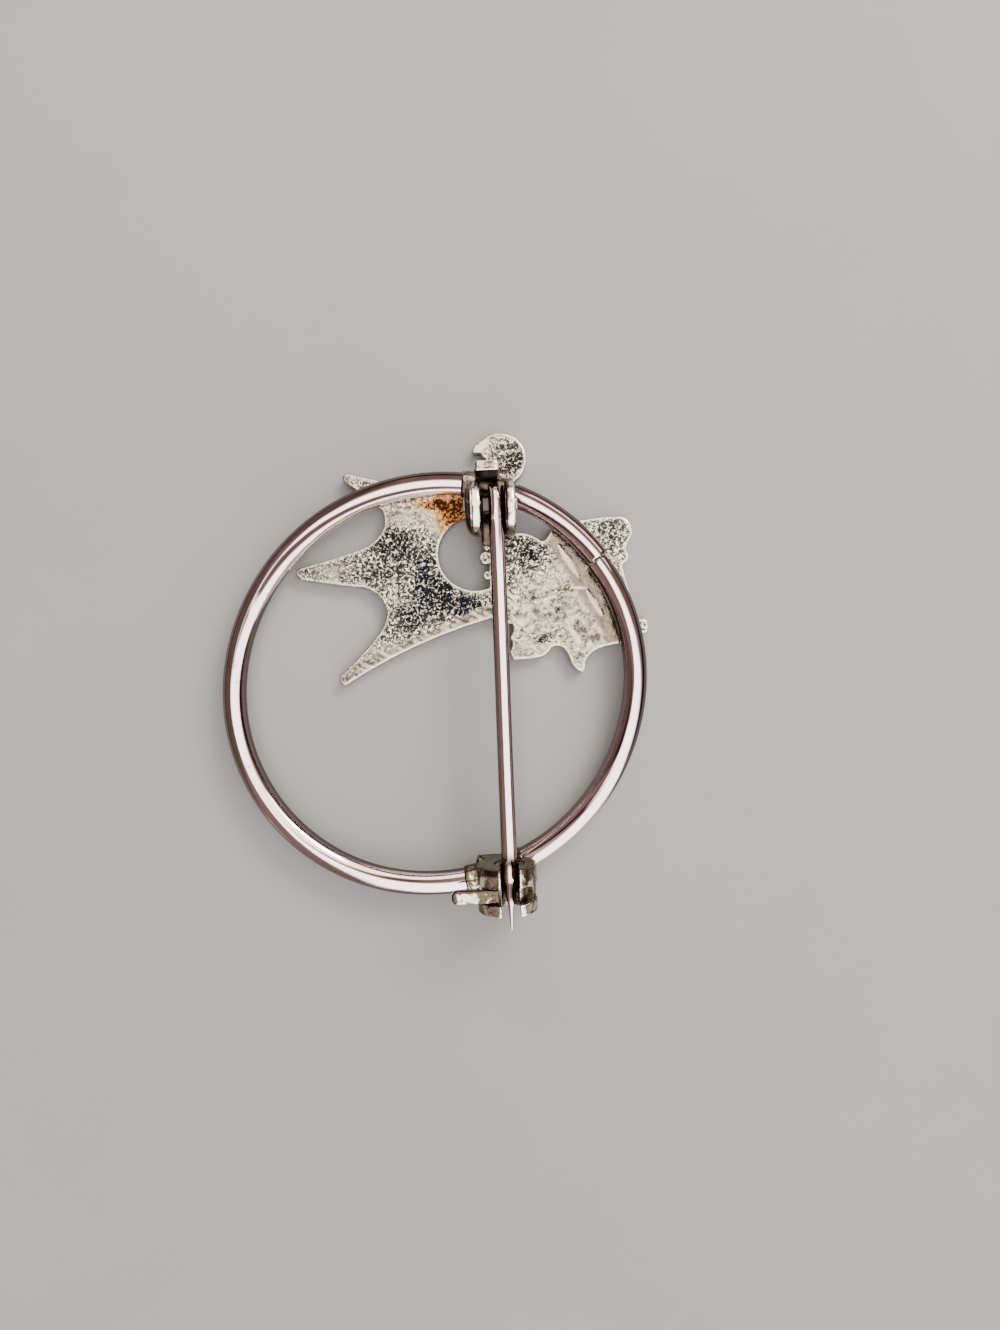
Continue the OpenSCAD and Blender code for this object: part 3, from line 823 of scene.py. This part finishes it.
def fitting_metal(name, pale, dark, grime, seed, hollows=1.0, specks=0.9, patches=0.62):
    """Worn plated fittings: bright tops with dark flecks, painted shade that makes the sides and low places
    brown, patchy brown patina, and darker corners.
    """
    n = Nodes(bpy.data.materials.new(name))
    shift = n.add("VectorMath", {0: n.coords, 1: (seed * 0.01, 0.0, 0.0)}, operation="ADD").outputs[0]
    cloud = n.noise(1150.0, shift, detail=5.0, rough=0.68, distortion=0.6)
    pits = n.noise(4600.0, shift, detail=3.0, rough=0.65)
    drawn = n.add("VectorMath", {0: shift, 1: (1.0, 0.12, 1.0)}, operation="MULTIPLY").outputs[0]
    lines = n.noise(1500.0, drawn, detail=3.0)
    gather = n.add("AmbientOcclusion", {"Distance": 0.0009}, samples=8).outputs["AO"]
    dirt_and_shade = n.attribute("dirt_and_shade").outputs["Fac"]
    # The painted shade and light of each piece, made patchy by the patina
    patchy = n.math("ADD", dirt_and_shade, n.level(cloud, 0.3, 0.7, -patches, patches))
    base = n.mix(n.level(patchy, 0.25, 0.75), pale, dark)
    fleck = n.math("MULTIPLY", n.level(pits, 0.53, 0.6), n.level(cloud, 0.36, 0.56, 0.3, 1.0))
    hollow = n.level(gather, 0.8, 0.3, 0.0, hollows)
    grimy = n.math("ADD", n.math("MULTIPLY", fleck, specks), n.math("MULTIPLY", hollow, 0.9), clamp=True)
    base = n.mix(grimy, base, grime)
    rough = n.math("ADD", n.level(cloud, 0.35, 0.7, 0.12, 0.3), n.math("MULTIPLY", hollow, 0.25))
    height = n.math("ADD", pits, n.math("MULTIPLY", lines, 0.6))
    return n.finish(base, rough, n.bump(height, 0.00002, 0.5))


RING_METAL = wire_metal("ring_nickel", pale=(0.95, 0.77, 0.77), deep=(0.78, 0.60, 0.61),
                        grime=(0.14, 0.085, 0.05), seed=0.0)
PIN_METAL = wire_metal("pin_nickel", pale=(0.95, 0.76, 0.76), deep=(0.76, 0.57, 0.58),
                       grime=(0.15, 0.085, 0.05), seed=5.0)
PLATE_METAL = plate_metal("plate_silver")
HINGE_METAL = fitting_metal("hinge_nickel", pale=(0.90, 0.79, 0.68), dark=(0.085, 0.062, 0.050),
                            grime=(0.014, 0.009, 0.008), seed=1.0, specks=0.35, patches=0.4)
CATCH_METAL = fitting_metal("catch_nickel", pale=(0.90, 0.83, 0.68), dark=(0.095, 0.075, 0.045),
                            grime=(0.026, 0.020, 0.013), seed=2.0, hollows=0.75)
ROLLER_METAL = fitting_metal("roller_nickel", pale=(0.84, 0.75, 0.63), dark=(0.080, 0.060, 0.042),
                             grime=(0.015, 0.010, 0.008), seed=3.0, hollows=0.45)
RIVET_METAL = fitting_metal("rivet_nickel", pale=(0.74, 0.68, 0.60), dark=(0.16, 0.125, 0.10),
                            grime=(0.03, 0.021, 0.018), seed=4.0)


# Pieces: ring and plate

line, line_length = wire_line()
make("ring", [(wire_tube(line, line_length, WIRE_R, 88, uneven=0.008, with_painted_shade=True), ring_frame())],
     RING_METAL, "frame", "brooch_frame")

verts, faces = plate_mesh()
plate = bpy.data.meshes.new("figure_plate")
plate.from_pydata([((x - MIDDLE[0]) * MM, (y - MIDDLE[1]) * MM, z * MM) for x, y, z in verts], [], faces)
for mask, values in plate_masks(verts).items():
    layer = plate.attributes.new(mask, "FLOAT", "POINT")
    layer.data.foreach_set("value", values.astype(np.float32))
plate.polygons.foreach_set("use_smooth", [True] * len(plate.polygons))
plate.materials.append(PLATE_METAL)
plate_object = bpy.data.objects.new("figure_plate", plate)
bpy.context.scene.collection.objects.link(plate_object)
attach(plate_object, "frame")
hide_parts("brooch_frame")


# Pieces: hinge

# The left ear's domed outer side: place along the rivet from the ear, radius
DOME = [(-0.5, 0.6), (-0.5, 1.55), (-0.47, 1.75), (-0.4, 1.92), (-0.28, 2.1), (-0.14, 2.25), (-0.02, 2.33),
        (0.1, 2.36), (0.1, 0.6)]
# The rivet's head: height above its rim, radius
HEAD = [(0.0, 0.74), (0.08, 0.66), (0.13, 0.45), (0.14, 0.2)]
# The hinge's floor from above, with the corner beside the right ear cut off
HINGE_FLOOR = [(-1.4, -2.95), (-0.05, -2.95), (0.85, -2.2), (0.85, 2.6), (-1.4, 2.6)]
FLOOR_Z = PLATE_T - PIN_Z


def ear_outline():
    """A rounded ear from the side, its foot sunk a little into the floor."""
    foot = FLOOR_Z + 0.05
    back = EAR_Y - EAR_R
    return arc_points((EAR_Y, EAR_Z), EAR_R, 0, 180, 28) + [
        (back, EAR_Z - 0.5), (back + EAR_INSET, foot), (EAR_Y + EAR_R, foot)]


def stop_outline():
    """The back stop from the front, with two rounded corners at its top."""
    low, corner_z, r = -3.55, 1.2, 0.4
    return ([(-1.8, low), (0.4, low)] + arc_points((0.0, corner_z), r, 0, 90, 6)
            + arc_points((-1.4, corner_z), r, 90, 180, 6))


def rivet_profile():
    """The rivet with a head outside each ear."""
    left, right = LEFT_EAR - 0.55, RIGHT_EAR + EAR_T + 0.05
    return ([(left - t, r) for t, r in reversed(HEAD)] + [(left + 0.02, RIVET_R), (right - 0.02, RIVET_R)]
            + [(right + t, r) for t, r in HEAD])


def hinge_painted_shade(p, up):
    """Painted shade and light: a darker dome and collar outside the left ear, darker hollows, a highlight
    painted down the left ear, a tan inner half of the right ear, and a greyer middle of the stop's top
    painted as a reflection.
    """
    x, y, z = p
    # The stop's top: a greyer middle painted as a reflection
    if y > STOP_Y - 0.1:
        middle = max(abs(x + 0.7), abs(y - STOP_Y - 0.42) / 0.36)
        return 0.75 * up * (1 - ease(middle, 0.8, 1.1)) - 0.1
    # Painted shade on the dome and collar outside the left ear
    if x < LEFT_EAR - 0.06:
        return 0.75 * up
    if x > RIGHT_EAR - 0.1:
        return 0.75 * up * (1 - ease(x, RIGHT_EAR + 0.2, RIGHT_EAR + 0.4)) + 0.08
    # A lighter band painted down the middle of the left ear as a highlight, with painted shade towards its
    # sides
    if x < LEFT_EAR + EAR_T + 0.05:
        return 0.14 + 0.4 * ease(abs(x - LEFT_EAR - 0.48), 0.15, 0.42)
    # Between the ears: painted shade, darker low down
    return 0.6 if z < -0.5 else 0.28


hinge_parts = [
    (slab(ear_outline(), LEFT_EAR, LEFT_EAR + EAR_T, "X", 0.26, 6, 0.035, 1.0), pin_frame()),
    (slab(ear_outline(), RIGHT_EAR, RIGHT_EAR + EAR_T, "X", 0.24, 6, 0.035, 2.0), pin_frame()),
    (lathe([(LEFT_EAR + t, r) for t, r in DOME]), pin_frame() @ Matrix.Translation((0, EAR_Y, EAR_Z))),
    (slab(HINGE_FLOOR, FLOOR_Z, FLOOR_Z + FLOOR_T, "Z", 0.12, 3, 0.03, 3.0), pin_frame()),
    (slab(stop_outline(), STOP_Y, STOP_Y + STOP_T, "Y", 0.14, 4, 0.02, 4.0, 0.16), pin_frame()),
    (wire_tube(*sleeve_line(ARCS[0], 0.4, -14.9), SLEEVE_R, count=56, shoulder=0.1, uneven=0.015),
     ring_frame()),
]
make("hinge_bracket", hinge_parts, HINGE_METAL, "frame", "brooch_frame", hinge_painted_shade)
make("hinge_rivet_heads", [(lathe(rivet_profile()), pin_frame())], RIVET_METAL, "frame", "hinge_rivet")


# Pieces: pin

# The tapered point: distance from the rivet, radius
TAPER = [(31.2, PIN_R), (32.6, 0.66), (33.2, 0.6), (34.2, 0.42), (35.2, 0.22), (36.4, 0.14), (37.2, 0.035)]
TAPER_FROM, PIN_END = TAPER[0][0], TAPER[-1][0]
# The eye is rounded over where it is nearest the back stop
EYE_END = -1.5


def pin_section(t):
    """Half width, half height and squareness of the pin's section at a distance from the rivet."""
    if t > TAPER_FROM:
        r = float(np.interp(t, [a for a, _ in TAPER], [b for _, b in TAPER]))
        return r, r, 2
    width = PIN_R
    height = math.sqrt(max(EYE_R ** 2 - t ** 2, 0.0))
    if t > 0:
        height = max(height, PIN_R + 0.3 * (1 - ease(t, 1.2, 3.4)))
    if t < EYE_END:
        width *= math.sqrt(max(1 - ((EYE_END - t) / (EYE_END + EYE_R)) ** 2, 0.02))
    return width, height, 2 + 0.7 * (1 - ease(t, 0.6, 2.7))


def in_catch(t, side):
    """Painted shade where the catch covers the pin, less in the middle of the front cheek."""
    front = smooth(t, 30.2, 30.8) * (1 - smooth(t, 31.3, 31.6))
    rear = smooth(t, 32.6, 32.9) * (1 - smooth(t, 34.2, 34.6))
    facing = smooth(side, -0.3, -0.1) * (1 - smooth(side, 0.42, 0.6))
    return float((front + rear) * (0.45 + 0.53 * facing))


def at_eye(t, side):
    """Painted shade on the right side of the eye."""
    near = 0.965 * ease(side, 0.05, 0.3) * (1 - ease(side, 0.42, 0.6))
    return (1 - ease(t, 2.6, 5.2)) * (near + 0.4 * ease(side, 0.5, 0.65))


def pin_mesh(count=48):
    """The pin with its eye, in many sections, with painted shade along both sides."""
    stations = [*np.linspace(-EYE_R + 0.005, 4.0, 56), *np.linspace(4.4, 31.0, 60),
                *np.linspace(TAPER_FROM, PIN_END, 26)]
    rings, grains, painted_shades = [], [], []
    for t in stations:
        w, h, power = pin_section(t)
        bend = 0.012 * math.sin(t * 0.21)
        ring, grain, painted_shade = [], [], []
        for k in range(count):
            a = math.tau * k / count
            c, s = math.cos(a), math.sin(a)
            f = (abs(c) ** power + abs(s) ** power) ** (-1 / power)
            ring.append(Vector((w * c * f + bend, -t, h * s * f)))
            grain.append(Vector((c, s, t * 0.1)))
            # Painted shade along both sides, inside the catch and beside the eye
            painted_shade.append(max(0.92 * ease(abs(c), 0.56, 0.84), in_catch(t, c), at_eye(t, c)))
        rings.append(ring)
        grains.append(grain)
        painted_shades.append(painted_shade)
    return sweep(rings, grains, painted_shades)


# The hub is painted dark all over, as painted shade between the ear and the eye
hub_profile = rounded_profile(LEFT_EAR + EAR_T + 0.12, RIGHT_EAR - 0.12, HUB_R, 0.1)
make("pin", [(pin_mesh(), pin_frame()), (lathe(hub_profile, painted_shade=0.965), pin_frame())], PIN_METAL,
     "pin", "pin_stem")


# Pieces: catch

LEVER_Z = (1.48, 2.03)
LEVER_FROM, LEVER_TO = -GAP_TO + SIDE_GAP, -GAP_FROM - SIDE_GAP
# The lever's rounded outer corners: place and radius
LEVER_CORNER_X, LEVER_CORNER_R = -4.5, 0.48
LEVER_ROOT_R = 2.3
LEVER_ROOT_X = -0.85


def cheek_outline():
    """A round cheek with the bore in it and the slot above, as one line."""
    reach = math.sqrt(CHEEK_R ** 2 - (SLOT_HALF + CHEEK_SHIFT) ** 2)
    start = math.degrees(math.atan2(reach, SLOT_HALF + CHEEK_SHIFT))
    left_reach = math.sqrt(CHEEK_R ** 2 - (SLOT_HALF - CHEEK_SHIFT) ** 2)
    end = math.degrees(math.atan2(left_reach, -SLOT_HALF + CHEEK_SHIFT))
    edge = math.degrees(math.acos(SLOT_HALF / BORE_R))
    return (arc_points((-CHEEK_SHIFT, 0), CHEEK_R, start, end - 360, 60)
            + arc_points((0, 0), BORE_R, 180 - edge, 360 + edge, 40))


def roller_outline(r):
    """A tube from its end, with its bore open to the slot above."""
    start = math.degrees(math.acos(SLOT_HALF / r))
    return arc_points((0, 0), r, start, -180 - start, 48) + arc_points((0, 0), SLOT_HALF, 180, 360, 24)


def base_outline():
    """The catch's base from above."""
    from_x, to_x = BASE_X
    return [(from_x, -CATCH_TO), (to_x, -CATCH_TO), (to_x, -CATCH_FROM), (from_x, -CATCH_FROM)]


def lever_mesh():
    """The lever that stands out to the left, slightly domed and lower at its end."""
    inner_x = -0.95
    outline = ([(inner_x, LEVER_FROM), (inner_x, LEVER_TO)]
               + arc_points((LEVER_CORNER_X, LEVER_TO - LEVER_CORNER_R), LEVER_CORNER_R, 90, 180, 8)
               + arc_points((LEVER_CORNER_X, LEVER_FROM + LEVER_CORNER_R), LEVER_CORNER_R, 180, 270, 8))
    bm = slab(outline, *LEVER_Z, "Z", 0.14, 4, 0.03, 8.0)
    for v in bm.verts:
        off = (v.co.y - (LEVER_FROM + LEVER_TO) / 2) / (LEVER_TO - LEVER_FROM) * 2
        v.co.z -= 0.07 * off * off + 0.05 * ease(-v.co.x, 3.9, 5.0)
    return bm


def in_slot(p):
    return abs(p[0]) < 1.12 and -0.95 < p[2] < 1.6


def catch_painted_light(p, up):
    """Painted shade and light: painted shade in the slot, a browner front top and right half, one painted
    glint, and a rear cheek painted bright in its middle as a highlight.
    """
    x, t = p[0], -p[1]
    # Painted shade in the slot, darker still on the slot's edges to dull their reflections
    if in_slot(p):
        return 0.25 if abs(x) < 0.9 else 0.6
    # The rear cheek: a highlight painted down the middle of its top, and darker sides
    if t > GAP_TO - 0.1:
        return up * (0.9 * ease(abs(x + CHEEK_SHIFT), 1.5, 2.0) - 0.35)
    if t > GAP_FROM + 0.1:
        return 0.0
    # One painted glint, on a browner front and right half
    spot = 1 - ease(math.hypot(x - 1.75, t - GAP_FROM + 0.25), 0.16, 0.3)
    front = 0.9 * (1 - ease(t, CATCH_FROM + 0.35, CATCH_FROM + 0.75))
    return up * (max(front, 0.85 if x > 0.95 else 0.15) - 1.8 * spot)


def lever_painted_shade(p, up):
    """Dark rim round the lug's end, and painted shade where it enters the gap and in the slot."""
    x, y = p[0], p[1]
    if in_slot(p):
        return 0.2
    rim = ease(-x, 4.4, 4.85) + ease(y, LEVER_TO - 0.3, LEVER_TO - 0.08)
    return up * (0.9 * min(rim, 1.0) + 0.65 * ease(x, -3.1, -2.5) + 0.32)


catch_parts = [
    (slab(cheek_outline(), -GAP_FROM, -CATCH_FROM, "Y", 0.22, 5, 0.035, 5.0), pin_frame()),
    (slab(cheek_outline(), -CATCH_TO, -GAP_TO, "Y", 0.18, 5, 0.035, 6.0), pin_frame()),
    (slab(base_outline(), BASE_Z[0] - PIN_Z, BASE_Z[1] - PIN_Z, "Z", 0.3, 5, 0.03, 7.0), pin_frame()),
    (wire_tube(*sleeve_line(ARCS[3], 195.9, 17.1), SLEEVE_R, count=56, shoulder=0.1, uneven=0.02),
     ring_frame()),
]
make("catch_housing", catch_parts, CATCH_METAL, "frame", "brooch_frame", catch_painted_light)

lever_root = [(LEVER_ROOT_X, 0.2)] + arc_points((0, 0), LEVER_ROOT_R, 172, 128, 10) + [(LEVER_ROOT_X, 1.0)]
roller_from, roller_to = -CATCH_TO + SIDE_GAP, -CATCH_FROM - SIDE_GAP
roller_parts = [
    (slab(roller_outline(ROLLER_R), roller_from, roller_to, "Y", 0.05, 3), pin_frame()),
    (slab(roller_outline(COLLAR_R), LEVER_FROM, LEVER_TO, "Y", 0.06, 3), pin_frame()),
    (slab(lever_root, LEVER_FROM, LEVER_TO, "Y", 0.08, 3), pin_frame()),
    (lever_mesh(), pin_frame()),
]
make("catch_roller_lever", roller_parts, ROLLER_METAL, "roller", "catch_roller",
     lever_painted_shade)


# Floor, light and camera

# Just below the plate, so that the two surfaces don't flicker into each other
FLOOR_LEVEL = -0.00002
WINDOW = (4.9, 4.55, 4.55)
WINDOW_LOW = (4.0, 3.6, 3.0)
WALL = (0.26, 0.18, 0.155)
WALL_FOOT = (0.12, 0.09, 0.08)
BACKDROP = (0.80, 0.79, 0.78)


def floor():
    """A plain pale sheet."""
    bm = bmesh.new()
    bmesh.ops.create_grid(bm, x_segments=8, y_segments=8, size=1.5)
    mesh = bpy.data.meshes.new("floor")
    bm.to_mesh(mesh)
    bm.free()
    n = Nodes(bpy.data.materials.new("floor_paper"))
    tone = n.noise(60.0, detail=3.0)
    n.finish(n.mix(tone, (0.165, 0.165, 0.165), (0.18, 0.18, 0.18)), 0.85, metallic=0.0)
    mesh.materials.append(n.owner)
    obj = bpy.data.objects.new("floor", mesh)
    bpy.context.scene.collection.objects.link(obj)
    obj.location.z = FLOOR_LEVEL


def studio():
    """What the metal reflects: a large soft window with warm dark walls round it. The backdrop is plain."""
    world = bpy.data.worlds.new("studio")
    bpy.context.scene.world = world
    n = Nodes(world, "Generated")
    split = n.add("SeparateXYZ", {0: n.coords})
    x, y, z = (split.outputs[k] for k in range(3))
    window = n.mix(n.level(y, 0.15, 0.30, soft=True), WINDOW, WINDOW_LOW)
    left = n.level(x, -0.24, -0.38, soft=True)
    right = n.level(x, 0.86, 0.94, soft=True)
    back = n.level(y, 0.90, 0.97, soft=True)
    room = n.mix(n.math("MAXIMUM", n.math("MAXIMUM", left, right), back), window, WALL)
    horizon = n.level(n.math("ADD", z, n.level(y, -0.2, -0.6, 0.0, 0.3)), 0.38, 0.14, soft=True)
    room = n.mix(horizon, room, WALL_FOOT)
    seen = n.add("LightPath").outputs["Is Camera Ray"]
    background = n.tree.nodes["Background"]
    n.tree.links.new(n.mix(seen, room, BACKDROP), background.inputs["Color"])
    background.inputs["Strength"].default_value = 1.0


def soft_light(name, at, size, watts, colour):
    """A rectangular light that faces the brooch."""
    data = bpy.data.lights.new(name, "AREA")
    data.shape = "RECTANGLE"
    data.size, data.size_y = size
    data.energy = watts
    data.color = colour
    obj = bpy.data.objects.new(name, data)
    bpy.context.scene.collection.objects.link(obj)
    obj.location = Vector(at)
    obj.rotation_euler = (Vector((0, 0, 0.002)) - Vector(at)).to_track_quat("-Z", "Y").to_euler()


floor()
studio()
soft_light("key", (0.20, 0.26, 0.22), (0.20, 0.12), 2.6, (1.0, 0.97, 0.94))

# The photograph's view, straight down on to a place given from the ring's centre
VIEW_FROM = Vector((5.897, 1.72, 67.4))
FOCAL_PIXELS = 722
PHOTO_HEIGHT_PIXELS = 1330
SENSOR_MM = 36.0

camera_data = bpy.data.cameras.new("camera")
camera_data.sensor_width = SENSOR_MM
camera_data.lens = FOCAL_PIXELS / PHOTO_HEIGHT_PIXELS * SENSOR_MM
camera_data.clip_start = 0.001
camera = bpy.data.objects.new("camera", camera_data)
bpy.context.scene.collection.objects.link(camera)
camera.location = (VIEW_FROM - MIDDLE) * MM
bpy.context.scene.camera = camera
